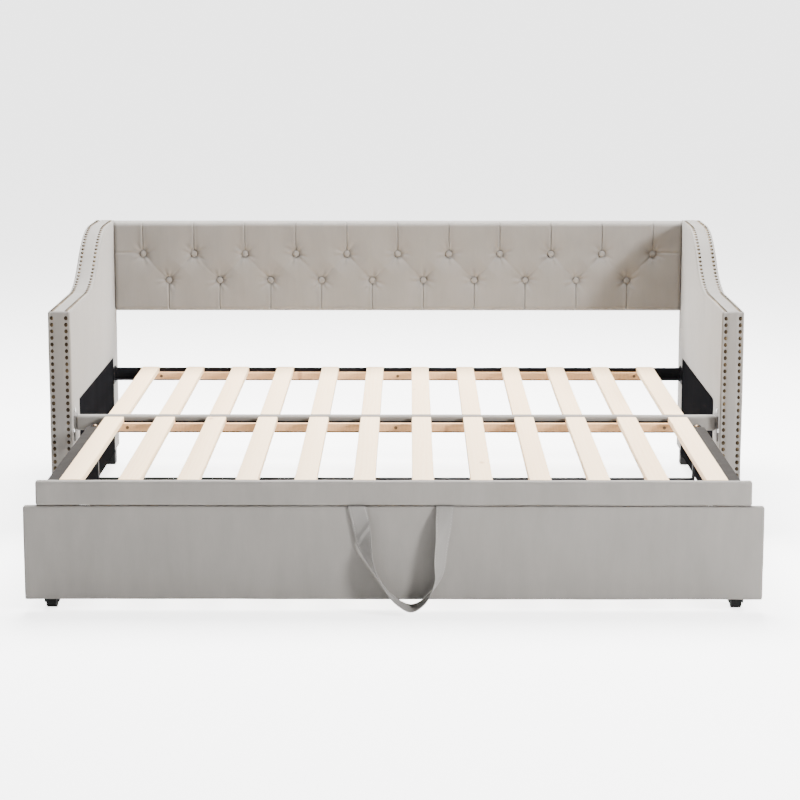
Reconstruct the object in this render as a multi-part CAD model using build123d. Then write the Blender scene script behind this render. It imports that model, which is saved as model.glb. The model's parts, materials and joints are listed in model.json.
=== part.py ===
from build123d import *
import math
import os

# An upholstered daybed with a pop-up trundle, drawn with the trundle pulled out and its deck raised.
# +Z is up, +Y is towards the back of the bed, and the origin is on the floor under the middle of it.

# Daybed
INNER_WIDTH = 1960          # clear width between the two arms
ARM_THICKNESS = 67
ARM_FRONT = -65
ARM_REAR = 1055
ARM_BOTTOM = 58             # underside of the arms, on top of their feet
ARM_LOW_TOP = 680           # height of the arm at the front
ARM_HIGH_TOP = 850          # height of the arm at the back
CURVE_START = 350           # where the arm's S-curve leaves the low level
CURVE_END = 850             # where it reaches the high level
COVER = 10                  # foam and velvet over a frame
ARM_CORNER_RADIUS = 9         # rounding between an arm's front and its low top
LINING_FRONT = 95
LINING_REAR = 920
LINING_TOP = 388
LINING_THICKNESS = 1.5
FOOT = 50
FRAME_TIMBER = 55             # width of the posts and rails inside an arm
FRAME_LOW = 30                # how far the middle upright starts above the arm's underside
FOOT_INSET = 15               # from an arm's end to its foot
BACK_FRONT = 1004
BACK_THICKNESS = 45
BACK_BOTTOM = 540
BACK_TOP = 849
BUTTON_PITCH = 176
BUTTON_ROWS = ((738, 11), (646, 10))   # height and number of buttons in each row
BUTTON_RADIUS = 11
BUTTON_DEPTH = 8            # how far the pocket of a button goes into the back
BUTTON_ROOM = 2             # gap between a button and the side of its pocket
BACK_PADDING = 25           # foam in front of the back's board
BACK_REAR_COVER = 5         # cloth and batting behind it
BACK_RIM_RADIUS = 12

# Slatted decks
DECK_TOP = 356
SLAT_THICKNESS = 18
SLAT_WIDTH = 58
SLAT_COUNT = 12
MAIN_SLAT_PITCH = 154.6
TRUNDLE_SLAT_PITCH = 155.4
CLEAT_DEPTH = 22
CLEAT_HEIGHT = 24
CLEAT_LENGTH = 1740
CLEAT_SCREW_X = 813
STEEL = 3
REAR_RAIL_FRONT = 935
FRONT_RAIL_FRONT = -30
FRONT_RAIL_DEPTH = 32
FRONT_RAIL_BOTTOM = 310
RAIL_BOTTOM = 291
RAIL_COVER = 4
RAIL_RADIUS = 5             # rounding of a padded rail's long edges
SLAT_GAP = 2                # between a slat's end and the rail beside it
BRACKET = 5                 # thickness of the plates that hold the rails to the arms
REAR_BRACKET_Z = (300, 352)
REAR_BRACKET_REACH = (-35, 45)   # in front of and behind the rear rail's face
WOOD_SCREW_RADIUS = 5
WOOD_SCREW_HEAD = 2
ARM_SCREW_RADIUS = 6
ARM_SCREW_HEAD = 4
BOLT_SPAN = (880, 950)      # the side tubes and rails are drilled right through, between these

# Trundle
PANEL_FRONT = -1005
PANEL_THICKNESS = 25
PANEL_WIDTH = 1956
PANEL_BOTTOM = 36
PANEL_TOP = 288
PANEL_FRONT_COVER = 5       # velvet and foam in front of the panel's board
PANEL_REAR_COVER = 3
PANEL_RIM_COVER = 6
UPPER_RAIL_WIDTH = 1888
SIDE_RAIL_OUTER = 926
SIDE_RAIL_WIDTH = 36
SIDE_RAIL_BOTTOM = 303
SIDE_RAIL_TOP = 343
DECK_REAR = -39
SIDE_RAIL_REAR = -140      # a black corner bracket fills the rest of the deck's side
CORNER_PLATE_TOP = 331
CORNER_IN_RAIL = 40         # how far the corner bracket slides into the side rail
CORNER_BOLT_BEFORE_REAR = 50
CORNER_BOLT_RADIUS = 10
RUNNER_X = 915              # centre of each lower side tube, over its casters
RUNNER = 30
RUNNER_BOTTOM = 60
RUNNER_REAR = -42
WHEEL_RADIUS = 25
WHEEL_WIDTH = 28
WHEEL_Y = (-942, -102)
AXLE_RADIUS = 4
AXLE_HEAD = (6, 2)          # radius and height
FORK_GAP = 2                # between a wheel's side and the fork's cheek
FORK_PLATE_DEPTH = 36
FORK_CHEEK_DEPTH = 28
FORK_BELOW_AXLE = 9
TYRE_RADIUS = 3             # rounding of a wheel's rims

# Swing frames
PIVOT_Z = 75
FRONT_PIVOT_Y = -742
REAR_PIVOT_Y = -232
DECK_PIVOT_Z = 323
LEAN = math.radians(5)      # the raised frames stand a little past upright, so weight keeps them up
LINK_WIDTH = 24
LINK_THICKNESS = 6
LINK_X = 881                # centre of each link
CROSS_TUBE_RADIUS = 10      # the round tube between a pair of links
TUBE_WALL = 2
BOLT_HEAD = (9, 5)          # radius and height
BOLT_NUT = (8, 7)
NUT_GAP = 0.3
BOLT_RADIUS = 5
RUNNING = 0.05              # radial clearance of a bolt that turns in its hole
OPEN_HOLE = 6               # the rear frame's upper holes are loose round their bolts

# Strap
STRAP_WIDTH = 47
STRAP_LEFT_X = -96
STRAP_RIGHT_X = 136
STRAP_WAIST_Z = 122         # where each leg has turned edge-on to the panel
STRAP_WAIST = 22            # how wide a leg looks there
STRAP_WAIST_X = (-58, 120)
STRAP_LOW = (46, 16)        # middle of the loop's lowest point, across and up
STRAP_LEG_DEPTH = 14        # room in front of the panel that a leg and its folds take up
STRAP_BAND = 12             # thickness of the loop's bottom, where the webbing lies on its side
STRAP_BACK = -1008
STRAP_TAIL = 60             # how far each end hangs down the panel's back
STRAP_TAIL_THICKNESS = 2
CLAMP_Z = (-55, -30)        # below the panel's top
CLAMP_SCREW_X = 14          # from the middle of a clamp to each of its screws
CLAMP_SCREW_RADIUS = 4

HALF = INNER_WIDTH / 2
LINK_LENGTH = (DECK_PIVOT_Z - PIVOT_Z) / math.cos(LEAN)
SLAT_BOTTOM = DECK_TOP - SLAT_THICKNESS
SIDES = (("left", -1), ("right", 1))


def block(x, y, z):
    """A box from three (low, high) pairs, in either order."""
    sizes = [abs(b - a) for a, b in (x, y, z)]
    centre = [(a + b) / 2 for a, b in (x, y, z)]
    return Pos(*centre) * Box(*sizes)


def rod(x, y, z, radius):
    """A round bar along X."""
    middle = (x[0] + x[1]) / 2
    return Pos(middle, y, z) * Rot(0, 90, 0) * Cylinder(radius, abs(x[1] - x[0]))


def group(shapes):
    return Compound(children=list(shapes))


def one(shape):
    """The single solid of a boolean result."""
    return shape.solids()[0]


def both(maker):
    """The same piece at the left and the right, as separate solids."""
    return group(maker(side) for _, side in SIDES)


def save(name, shape):
    export_step(shape, f"parts/{name}.step")


def tube(x, y, z, along="Y"):
    """A rectangular steel tube, open at both ends."""
    inner = []
    for axis, (low, high) in zip("XYZ", (x, y, z)):
        low, high = min(low, high), max(low, high)
        inner.append((low, high) if axis == along else (low + TUBE_WALL, high - TUBE_WALL))
    return one(block(x, y, z) - block(*inner))


# Arms


def curve_turn():
    """Radius and angle of the two equal arcs of the S-curve."""
    run = CURVE_END - CURVE_START
    rise = ARM_HIGH_TOP - ARM_LOW_TOP
    angle = 2 * math.atan(rise / run)
    return run / 2 / math.sin(angle), angle


def arm_outline(inset):
    """The arm seen from the side, inset all round."""
    radius, angle = curve_turn()
    low = ARM_LOW_TOP - inset
    high = ARM_HIGH_TOP - inset
    front = ARM_FRONT + inset
    rear = ARM_REAR - inset
    bottom = ARM_BOTTOM + inset
    start = (CURVE_START, low)
    turn_y = CURVE_START + (radius + inset) * math.sin(angle)
    turn_z = ARM_LOW_TOP + radius - (radius + inset) * math.cos(angle)
    middle = (turn_y, turn_z)
    end = (CURVE_END, high)
    with BuildSketch(Plane.YZ) as outline:
        with BuildLine():
            Polyline(end, (rear, high), (rear, bottom), (front, bottom), (front, low), start)
            TangentArc(start, middle, tangent=(1, 0))
            TangentArc(middle, end, tangent=(math.cos(angle), math.sin(angle)))
        make_face()
    return outline.sketch


def arm_slab(inset, x):
    return one(extrude(Pos(x[0], 0, 0) * arm_outline(inset), amount=x[1] - x[0]))


def arm_x(side, low, high):
    """An X range measured outwards from the arm's inner face."""
    a, b = side * (HALF + low), side * (HALF + high)
    return min(a, b), max(a, b)


def arm_frame(side):
    """Timber posts and rails inside the cover, with one upright between them."""
    x = arm_x(side, COVER, ARM_THICKNESS - COVER)
    ring = arm_slab(COVER, x) - arm_slab(COVER + FRAME_TIMBER, x)
    middle_y = (ARM_FRONT + ARM_REAR) / 2
    y = (middle_y - FRAME_TIMBER / 2, middle_y + FRAME_TIMBER / 2)
    upright = block(x, y, (ARM_BOTTOM + FRAME_LOW, ARM_LOW_TOP))
    inside = arm_slab(COVER + FRAME_TIMBER, x)
    return one(ring + (upright & inside))


def lining_block(side):
    x = arm_x(side, 0, LINING_THICKNESS)
    return block(x, (LINING_FRONT, LINING_REAR), (ARM_BOTTOM, LINING_TOP))


def arm_cover(side):
    """Foam and velvet round the frame, with a shallow rebate for the lining."""
    x = arm_x(side, 0, ARM_THICKNESS)
    inner = arm_x(side, COVER, ARM_THICKNESS - COVER)
    slab = arm_slab(0, x)
    corner = slab.edges().filter_by(Axis.X).filter_by(lambda e: abs(e.center().Y - ARM_FRONT) < 1)
    slab = fillet(corner.sort_by(Axis.Z)[-1:], ARM_CORNER_RADIUS)
    return one(slab - arm_slab(COVER, inner) - lining_block(side))


def arm_feet(side):
    middle = side * (HALF + ARM_THICKNESS / 2)
    x = (middle - FOOT / 2, middle + FOOT / 2)
    ends = (ARM_FRONT + FOOT_INSET, ARM_REAR - FOOT_INSET - FOOT)
    return group(block(x, (y, y + FOOT), (0, ARM_BOTTOM)) for y in ends)


NAIL_RADIUS = 6.2
NAIL_HEIGHT = 2.6
NAIL_PITCH = 20
NAIL_EDGE = 12              # from the arm's edge to the middle of a row
NAIL_SINK = 0.3
NAIL_TOP_START = 14           # from the arm's front to the first nail on its top
NAIL_FRONT_START = 20         # from the arm's low top to the first nail on its front
NAIL_FRONT_END = 10           # least distance from the last nail to the arm's underside


def nail():
    """A domed head on the XY plane, pointing up."""
    ball = (NAIL_RADIUS ** 2 + NAIL_HEIGHT ** 2) / (2 * NAIL_HEIGHT)
    cap = Pos(0, 0, NAIL_HEIGHT - ball) * Sphere(ball)
    return one(cap & Pos(0, 0, ball) * Box(4 * ball, 4 * ball, 2 * ball))


def top_place(distance):
    """Y, Z and slope of the arm's top, at a distance along it from the curve's start."""
    radius, angle = curve_turn()
    arc = radius * angle
    if distance < 0:
        return CURVE_START + distance, ARM_LOW_TOP, 0
    if distance < arc:
        turn = distance / radius
        return CURVE_START + radius * math.sin(turn), ARM_LOW_TOP + radius * (1 - math.cos(turn)), turn
    if distance < 2 * arc:
        turn = (2 * arc - distance) / radius
        return CURVE_END - radius * math.sin(turn), ARM_HIGH_TOP - radius * (1 - math.cos(turn)), turn
    return CURVE_END + distance - 2 * arc, ARM_HIGH_TOP, 0


def arm_nails(side):
    head = nail()
    places = []
    radius, angle = curve_turn()
    first = ARM_FRONT + NAIL_TOP_START - CURVE_START
    last = 2 * radius * angle + ARM_REAR - NAIL_EDGE - CURVE_END
    top_count = int((last - first) / NAIL_PITCH)
    front_first = ARM_LOW_TOP - NAIL_FRONT_START
    front_count = int((front_first - ARM_BOTTOM - NAIL_FRONT_END) / NAIL_PITCH)
    for inward in (NAIL_EDGE, ARM_THICKNESS - NAIL_EDGE):
        x = side * (HALF + inward)
        for step in range(front_count + 1):
            z = front_first - step * NAIL_PITCH
            places.append(Pos(x, ARM_FRONT + NAIL_SINK, z) * Rot(90, 0, 0))
        for step in range(top_count + 1):
            y, z, slope = top_place(first + step * NAIL_PITCH)
            sink = Pos(x, y + NAIL_SINK * math.sin(slope), z - NAIL_SINK * math.cos(slope))
            places.append(sink * Rot(math.degrees(slope), 0, 0))
    return group(place * head for place in places)


def make_arms():
    for name, side in SIDES:
        save(f"arm_frame_{name}", arm_frame(side))
        save(f"arm_cover_{name}", arm_cover(side))
        save(f"arm_lining_{name}", lining_block(side))
        save(f"arm_feet_{name}", arm_feet(side))
        save(f"arm_nails_{name}", arm_nails(side))


# Back


def back_board():
    y = (BACK_FRONT + BACK_PADDING, BACK_FRONT + BACK_THICKNESS - BACK_REAR_COVER)
    half = HALF - BACK_REAR_COVER
    return block((-half, half), y, (BACK_BOTTOM + COVER, BACK_TOP - COVER))


def button_places():
    for z, count in BUTTON_ROWS:
        for index in range(count):
            yield (index - (count - 1) / 2) * BUTTON_PITCH, z


def along_y(x, y, z, radius):
    """A round bar along Y, from its (low, high) pair."""
    return Pos(x, (y[0] + y[1]) / 2, z) * Rot(90, 0, 0) * Cylinder(radius, y[1] - y[0])


def back_cover():
    """Padding and velvet round the board, with a pocket for each button."""
    y = (BACK_FRONT, BACK_FRONT + BACK_THICKNESS)
    slab = block((-HALF, HALF), y, (BACK_BOTTOM, BACK_TOP))
    rims = slab.edges().filter_by(Axis.X).sort_by(Axis.Y)[:2]
    slab = fillet(rims, BACK_RIM_RADIUS)
    pockets = [
        along_y(x, (BACK_FRONT - BUTTON_DEPTH, BACK_FRONT + BUTTON_DEPTH), z, BUTTON_RADIUS + BUTTON_ROOM)
        for x, z in button_places()
    ]
    return one(slab - back_board() - pockets)


def back_buttons():
    depth = (BACK_FRONT + 1, BACK_FRONT + BUTTON_DEPTH)
    return group(along_y(x, depth, z, BUTTON_RADIUS) for x, z in button_places())


def make_back():
    save("back_board", back_board())
    save("back_cover", back_cover())
    save("back_buttons", back_buttons())


# Decks


def slats(pitch, y):
    places = [(index - (SLAT_COUNT - 1) / 2) * pitch for index in range(SLAT_COUNT)]
    half = SLAT_WIDTH / 2
    return group(block((x - half, x + half), y, (SLAT_BOTTOM, DECK_TOP)) for x in places)


def cleat(rail_y, way):
    """A timber strip that carries the slat ends, beside a rail at rail_y."""
    half = CLEAT_LENGTH / 2
    z = (SLAT_BOTTOM - CLEAT_HEIGHT, SLAT_BOTTOM)
    return block((-half, half), (rail_y, rail_y + way * CLEAT_DEPTH), z)


def angle_rail(half, face, way, top):
    """A steel angle: its upright leg is behind the cleat and its foot is under it."""
    low = SLAT_BOTTOM - CLEAT_HEIGHT - STEEL
    upright = block((-half, half), (face, face - way * STEEL), (low, top))
    foot = block((-half, half), (face, face + way * CLEAT_DEPTH), (low, low + STEEL))
    return one(upright + foot)


def cleat_screws(face, way):
    """Round heads on the cleat's free face."""
    z = SLAT_BOTTOM - CLEAT_HEIGHT / 2
    y = (face, face + way * WOOD_SCREW_HEAD)
    places = (-CLEAT_SCREW_X, 0, CLEAT_SCREW_X)
    return group(along_y(x, (min(y), max(y)), z, WOOD_SCREW_RADIUS) for x in places)


def rail_plate(y, z):
    """A pair of plates against the arms, at the two ends of a rail."""
    return both(lambda side: block((side * (HALF - BRACKET), side * HALF), y, z))


def padded_rail(half, y, z, board):
    """A velvet-covered rail with a soft rounded top and bottom, round a board."""
    slab = block((-half, half), y, z)
    slab = fillet(slab.edges().filter_by(Axis.X), RAIL_RADIUS)
    return one(slab - board)


def rail_board(half, y, z):
    """The timber inside a padded rail."""
    inset = RAIL_COVER
    return block(
        (-half + inset, half - inset), (y[0] + inset, y[1] - inset), (z[0] + inset, z[1] - inset)
    )


def make_daybed_deck():
    half = HALF - BRACKET
    rear = REAR_RAIL_FRONT
    front_y = (FRONT_RAIL_FRONT, FRONT_RAIL_FRONT + FRONT_RAIL_DEPTH)
    front_z = (FRONT_RAIL_BOTTOM, DECK_TOP + 1)
    board = rail_board(half, front_y, front_z)
    save("rear_rail", angle_rail(half, rear, -1, DECK_TOP - 4))
    save("rear_cleat", cleat(rear, -1))
    save("rear_cleat_screws", cleat_screws(rear - CLEAT_DEPTH, -1))
    plate_y = [rear + reach for reach in REAR_BRACKET_REACH]
    save("rear_rail_brackets", rail_plate(plate_y, REAR_BRACKET_Z))
    save("front_rail_board", board)
    save("front_rail_cover", padded_rail(half, front_y, front_z, board))
    save("front_cleat", cleat(front_y[1], 1))
    save("front_cleat_screws", cleat_screws(front_y[1] + CLEAT_DEPTH, 1))
    bracket_y = (front_y[0] - 4, front_y[1] + 20)
    save("front_rail_brackets", rail_plate(bracket_y, (RAIL_BOTTOM - 12, DECK_TOP)))
    save("bracket_screws", bracket_screws())
    save("main_slats", slats(MAIN_SLAT_PITCH, (front_y[1] + SLAT_GAP, rear - SLAT_GAP)))


def bracket_screws():
    """Bright heads on the arm's inner face, one above the front rail and one in front of it."""
    places = ((FRONT_RAIL_FRONT + 12, DECK_TOP + 16), (FRONT_RAIL_FRONT - 18, RAIL_BOTTOM + 23))
    heads = []
    for _, side in SIDES:
        for y, z in places:
            heads.append(rod((side * (HALF - ARM_SCREW_HEAD), side * HALF), y, z, ARM_SCREW_RADIUS))
    return group(heads)


# Trundle base


def panel_board():
    y = (PANEL_FRONT + PANEL_FRONT_COVER, PANEL_FRONT + PANEL_THICKNESS - PANEL_REAR_COVER)
    half = PANEL_WIDTH / 2 - PANEL_RIM_COVER
    return block((-half, half), y, (PANEL_BOTTOM + PANEL_RIM_COVER, PANEL_TOP - PANEL_RIM_COVER))


def panel_cover():
    half = PANEL_WIDTH / 2
    y = (PANEL_FRONT, PANEL_FRONT + PANEL_THICKNESS)
    slab = block((-half, half), y, (PANEL_BOTTOM, PANEL_TOP))
    front = slab.faces().sort_by(Axis.Y)[0].edges()
    return one(fillet(front, PANEL_FRONT_COVER) - panel_board())


def strap_leg(top_x, waist_x):
    """One leg seen from the front: full width at the top, narrowing as it turns."""
    top = STRAP_WIDTH / 2
    waist = STRAP_WAIST / 2
    corners = [
        (top_x - top, PANEL_TOP),
        (top_x + top, PANEL_TOP),
        (waist_x + waist, STRAP_WAIST_Z),
        (waist_x - waist, STRAP_WAIST_Z),
    ]
    with BuildSketch(Plane.XZ) as outline:
        Polygon(*corners, align=None)
    return Pos(0, STRAP_BACK, 0) * outline.sketch


def strap_bottom():
    """The rounded bottom, where the webbing's width runs away from the panel."""
    left, right = STRAP_WAIST_X
    low_x, low_z = STRAP_LOW
    start = Vector(left, STRAP_BACK, STRAP_WAIST_Z + 1)
    end = Vector(right, STRAP_BACK, STRAP_WAIST_Z + 1)
    arc = ThreePointArc(start, Vector(low_x, STRAP_BACK, low_z + STRAP_BAND / 2), end)
    centre = arc.arc_center
    outer = arc.radius + STRAP_BAND / 2
    disc = along_y(centre.X, (STRAP_BACK - STRAP_WIDTH, STRAP_BACK), centre.Z, outer)
    hole = along_y(centre.X, (STRAP_BACK - 2 * STRAP_WIDTH, STRAP_BACK + 1), centre.Z, outer - STRAP_BAND)
    over = block((-400, 400), (STRAP_BACK - 2 * STRAP_WIDTH, STRAP_BACK + 1), (STRAP_WAIST_Z + 1, 600))
    return disc - hole - over


def pull_strap():
    """A webbing loop that hangs in front of the panel and turns on its side at the bottom."""
    body = strap_bottom()
    for top_x, waist_x in zip((STRAP_LEFT_X, STRAP_RIGHT_X), STRAP_WAIST_X):
        body += extrude(strap_leg(top_x, waist_x), amount=STRAP_LEG_DEPTH, dir=(0, -1, 0))
    return one(body)


def strap_tails():
    """The strap's two ends, that lie over the panel's top and down its back."""
    thick = STRAP_TAIL_THICKNESS
    back = PANEL_FRONT + PANEL_THICKNESS
    tails = []
    for middle in (STRAP_LEFT_X, STRAP_RIGHT_X):
        x = (middle - STRAP_WIDTH / 2, middle + STRAP_WIDTH / 2)
        over = block(x, (STRAP_BACK, back + thick), (PANEL_TOP, PANEL_TOP + thick))
        down = block(x, (back, back + thick), (PANEL_TOP - STRAP_TAIL, PANEL_TOP))
        front = block(x, (STRAP_BACK, PANEL_FRONT), (PANEL_TOP - PANEL_RIM_COVER, PANEL_TOP))
        tails.append(one(over + down + front))
    return group(tails)


def strap_clamps():
    """A steel plate and two screw heads hold each end of the strap to the panel's back."""
    back = PANEL_FRONT + PANEL_THICKNESS + STRAP_TAIL_THICKNESS
    plate_z = [PANEL_TOP + drop for drop in CLAMP_Z]
    middle_z = sum(plate_z) / 2
    clamps = []
    for middle in (STRAP_LEFT_X, STRAP_RIGHT_X):
        x = (middle - STRAP_WIDTH / 2, middle + STRAP_WIDTH / 2)
        plate = block(x, (back, back + 2), plate_z)
        for offset in (-CLAMP_SCREW_X, CLAMP_SCREW_X):
            plate += along_y(middle + offset, (back + 1, back + 4), middle_z, CLAMP_SCREW_RADIUS)
        clamps.append(one(plate))
    return group(clamps)


def bolt_hole(x, y, z):
    return rod(x, y, z, BOLT_RADIUS + RUNNING)


def runner(side):
    """A lower side tube, drilled for the two swing frames."""
    edge = (RUNNER_X - RUNNER / 2, RUNNER_X + RUNNER / 2)
    x = (side * edge[0], side * edge[1])
    y = (PANEL_FRONT + PANEL_THICKNESS, RUNNER_REAR)
    body = tube(x, y, (RUNNER_BOTTOM, RUNNER_BOTTOM + RUNNER))
    for pivot in (FRONT_PIVOT_Y, REAR_PIVOT_Y):
        body -= bolt_hole([side * x for x in BOLT_SPAN], pivot, PIVOT_Z)
    return one(body)


def cross_tube(y):
    half = RUNNER_X - RUNNER / 2
    return tube((-half, half), (y, y + RUNNER), (RUNNER_BOTTOM, RUNNER_BOTTOM + RUNNER), along="X")


def pivot_bolt(side, outer, y, z):
    """A shoulder bolt with its head outside and its nut inside the link."""
    inner = LINK_X - LINK_THICKNESS / 2
    shank = rod((side * (inner - 2), side * (outer + 1)), y, z, BOLT_RADIUS)
    head_radius, head_height = BOLT_HEAD
    nut_radius, nut_height = BOLT_NUT
    head = rod((side * outer, side * (outer + head_height)), y, z, head_radius)
    nut = rod((side * (inner - nut_height), side * (inner - NUT_GAP)), y, z, nut_radius)
    return one(shank + head + nut)


def base_pivot_bolts():
    outer = RUNNER_X + RUNNER / 2
    places = (FRONT_PIVOT_Y, REAR_PIVOT_Y)
    return group(pivot_bolt(side, outer, y, PIVOT_Z) for _, side in SIDES for y in places)


def fork(side, y):
    """A caster's fork under the runner: a top plate and two cheeks round the wheel."""
    middle = side * RUNNER_X
    gap = WHEEL_WIDTH / 2 + FORK_GAP
    cheek = gap + STEEL
    plate_half, cheek_half = FORK_PLATE_DEPTH / 2, FORK_CHEEK_DEPTH / 2
    plate_z = (RUNNER_BOTTOM - STEEL, RUNNER_BOTTOM)
    body = block((middle - cheek, middle + cheek), (y - plate_half, y + plate_half), plate_z)
    for way in (-1, 1):
        x = (middle + way * gap, middle + way * cheek)
        z = (WHEEL_RADIUS - FORK_BELOW_AXLE, RUNNER_BOTTOM)
        body += block(x, (y - cheek_half, y + cheek_half), z)
    hole = rod((middle - WHEEL_WIDTH, middle + WHEEL_WIDTH), y, WHEEL_RADIUS, AXLE_RADIUS)
    return one(body - hole)


def axle(side, y):
    middle = side * RUNNER_X
    reach = WHEEL_WIDTH / 2 + FORK_GAP + STEEL
    head_radius, head_height = AXLE_HEAD
    pin = rod((middle - reach, middle + reach), y, WHEEL_RADIUS, AXLE_RADIUS)
    for way in (-1, 1):
        x = (middle + way * reach, middle + way * (reach + head_height))
        pin += rod(x, y, WHEEL_RADIUS, head_radius)
    return one(pin)


def wheel(side, y):
    middle = side * RUNNER_X
    x = (middle - WHEEL_WIDTH / 2, middle + WHEEL_WIDTH / 2)
    tyre = rod(x, y, WHEEL_RADIUS, WHEEL_RADIUS)
    tyre = fillet(tyre.edges(), TYRE_RADIUS)
    bore = rod((middle - WHEEL_WIDTH, middle + WHEEL_WIDTH), y, WHEEL_RADIUS, AXLE_RADIUS + RUNNING)
    return one(tyre - bore)


def make_trundle_base():
    save("panel_board", panel_board())
    save("panel_cover", panel_cover())
    save("pull_strap", pull_strap())
    save("strap_tails", strap_tails())
    save("strap_clamps", strap_clamps())
    save("base_front_tube", cross_tube(PANEL_FRONT + PANEL_THICKNESS))
    save("base_rear_tube", cross_tube(RUNNER_REAR - RUNNER))
    save("base_pivot_bolts", base_pivot_bolts())
    for name, side in SIDES:
        save(f"runner_{name}", runner(side))
        for end, y in zip(("front", "rear"), WHEEL_Y):
            save(f"caster_fork_{end}_{name}", fork(side, y))
            save(f"axle_{end}_{name}", axle(side, y))
            save(f"wheel_{end}_{name}", wheel(side, y))


# Swing frames and trundle deck


def deck_pivot_y(pivot_y):
    return pivot_y - LINK_LENGTH * math.sin(LEAN)


def link(side, pivot_y, top_hole):
    """A flat bar with round ends, from a runner's pivot up to the deck's."""
    half = LINK_THICKNESS / 2
    x = (side * (LINK_X - half), side * (LINK_X + half))
    wide = (side * (LINK_X - 3 * half), side * (LINK_X + 3 * half))
    foot = (pivot_y, PIVOT_Z)
    head = (deck_pivot_y(pivot_y), DECK_PIVOT_Z)
    centre = ((foot[0] + head[0]) / 2, (foot[1] + head[1]) / 2)
    lean = Rot(math.degrees(LEAN), 0, 0)
    bar = Pos(side * LINK_X, *centre) * lean * Box(LINK_THICKNESS, LINK_WIDTH, LINK_LENGTH)
    body = bar + rod(x, *foot, LINK_WIDTH / 2) + rod(x, *head, LINK_WIDTH / 2)
    body = body - rod(wide, *foot, BOLT_RADIUS + RUNNING) - rod(wide, *head, top_hole)
    return body


def swing_frame(pivot_y, top_hole):
    """Two links joined by a cross tube half way up."""
    inner = LINK_X - LINK_THICKNESS / 2
    y = (pivot_y + deck_pivot_y(pivot_y)) / 2
    z = (PIVOT_Z + DECK_PIVOT_Z) / 2
    span = (-inner, inner)
    body = rod(span, y, z, CROSS_TUBE_RADIUS) - rod(span, y, z, CROSS_TUBE_RADIUS - TUBE_WALL)
    for _, side in SIDES:
        body += link(side, pivot_y, top_hole)
    return one(body)


def side_rail(side):
    x = (side * (SIDE_RAIL_OUTER - SIDE_RAIL_WIDTH), side * SIDE_RAIL_OUTER)
    y = (PANEL_FRONT + PANEL_THICKNESS, SIDE_RAIL_REAR)
    body = tube(x, y, (SIDE_RAIL_BOTTOM, SIDE_RAIL_TOP))
    rims = body.edges().filter_by(Axis.Y).group_by(Axis.Z)[-1]
    body = fillet(rims, RAIL_RADIUS)
    for pivot in (FRONT_PIVOT_Y, REAR_PIVOT_Y):
        body -= bolt_hole([side * x for x in BOLT_SPAN], deck_pivot_y(pivot), DECK_PIVOT_Z)
    return one(body)


def corner_bracket(side):
    """An angle that slides into a side rail's end and reaches the deck's rear corner."""
    inner = side * (SIDE_RAIL_OUTER - SIDE_RAIL_WIDTH + TUBE_WALL)
    outer = side * (SIDE_RAIL_OUTER - TUBE_WALL)
    y = (SIDE_RAIL_REAR - CORNER_IN_RAIL, DECK_REAR)
    z = (SIDE_RAIL_BOTTOM + TUBE_WALL, CORNER_PLATE_TOP)
    plate = block((inner, outer), y, (CORNER_PLATE_TOP - STEEL, CORNER_PLATE_TOP))
    flange = block((outer - side * STEEL, outer), y, z)
    rear = block((inner, outer), (DECK_REAR - STEEL, DECK_REAR), z)
    return one(plate + flange + rear)


def corner_bolts():
    """A domed bolt head on top of each corner bracket."""
    x = SIDE_RAIL_OUTER - SIDE_RAIL_WIDTH / 2
    radius = CORNER_BOLT_RADIUS
    y = DECK_REAR - CORNER_BOLT_BEFORE_REAR
    dome = Sphere(radius) & Pos(0, 0, radius) * Box(4 * radius, 4 * radius, 2 * radius)
    return group(Pos(side * x, y, CORNER_PLATE_TOP) * one(dome) for _, side in SIDES)


def deck_pivot_bolts():
    places = (FRONT_PIVOT_Y, REAR_PIVOT_Y)
    outer = SIDE_RAIL_OUTER
    return group(
        pivot_bolt(side, outer, deck_pivot_y(y), DECK_PIVOT_Z) for _, side in SIDES for y in places
    )


def make_trundle_deck():
    half = UPPER_RAIL_WIDTH / 2
    rail_back = PANEL_FRONT + PANEL_THICKNESS
    y = (PANEL_FRONT, rail_back)
    z = (RAIL_BOTTOM, DECK_TOP)
    board = rail_board(half, y, z)
    rear_face = DECK_REAR - STEEL
    save("swing_frame_front", swing_frame(FRONT_PIVOT_Y, BOLT_RADIUS + RUNNING))
    save("swing_frame_rear", swing_frame(REAR_PIVOT_Y, OPEN_HOLE))
    save("upper_rail_board", board)
    save("upper_rail_cover", padded_rail(half, y, z, board))
    between = SIDE_RAIL_OUTER - SIDE_RAIL_WIDTH
    save("trundle_rear_angle", angle_rail(between, rear_face, -1, SIDE_RAIL_TOP))
    save("trundle_front_cleat", cleat(rail_back, 1))
    save("trundle_rear_cleat", cleat(rear_face, -1))
    screws = [cleat_screws(rail_back + CLEAT_DEPTH, 1), cleat_screws(rear_face - CLEAT_DEPTH, -1)]
    save("trundle_cleat_screws", group(solid for part in screws for solid in part.solids()))
    save("deck_pivot_bolts", deck_pivot_bolts())
    save("corner_brackets", both(corner_bracket))
    save("corner_bolts", corner_bolts())
    save("trundle_slats", slats(TRUNDLE_SLAT_PITCH, (rail_back + SLAT_GAP, rear_face - SLAT_GAP)))
    for name, side in SIDES:
        save(f"side_rail_{name}", side_rail(side))


os.makedirs("parts", exist_ok=True)
make_arms()
make_back()
make_daybed_deck()
make_trundle_base()
make_trundle_deck()
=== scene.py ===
# %% [markdown]
# # A velvet daybed with a pop-up trundle
# The frame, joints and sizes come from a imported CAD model. These cells add what upholstery, timber
# and metal really look like: soft edges, tufting, stitching, grain and nap.

# %% Load the frame
import json
import math

import bpy
from mathutils import Matrix, Vector, noise

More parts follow.
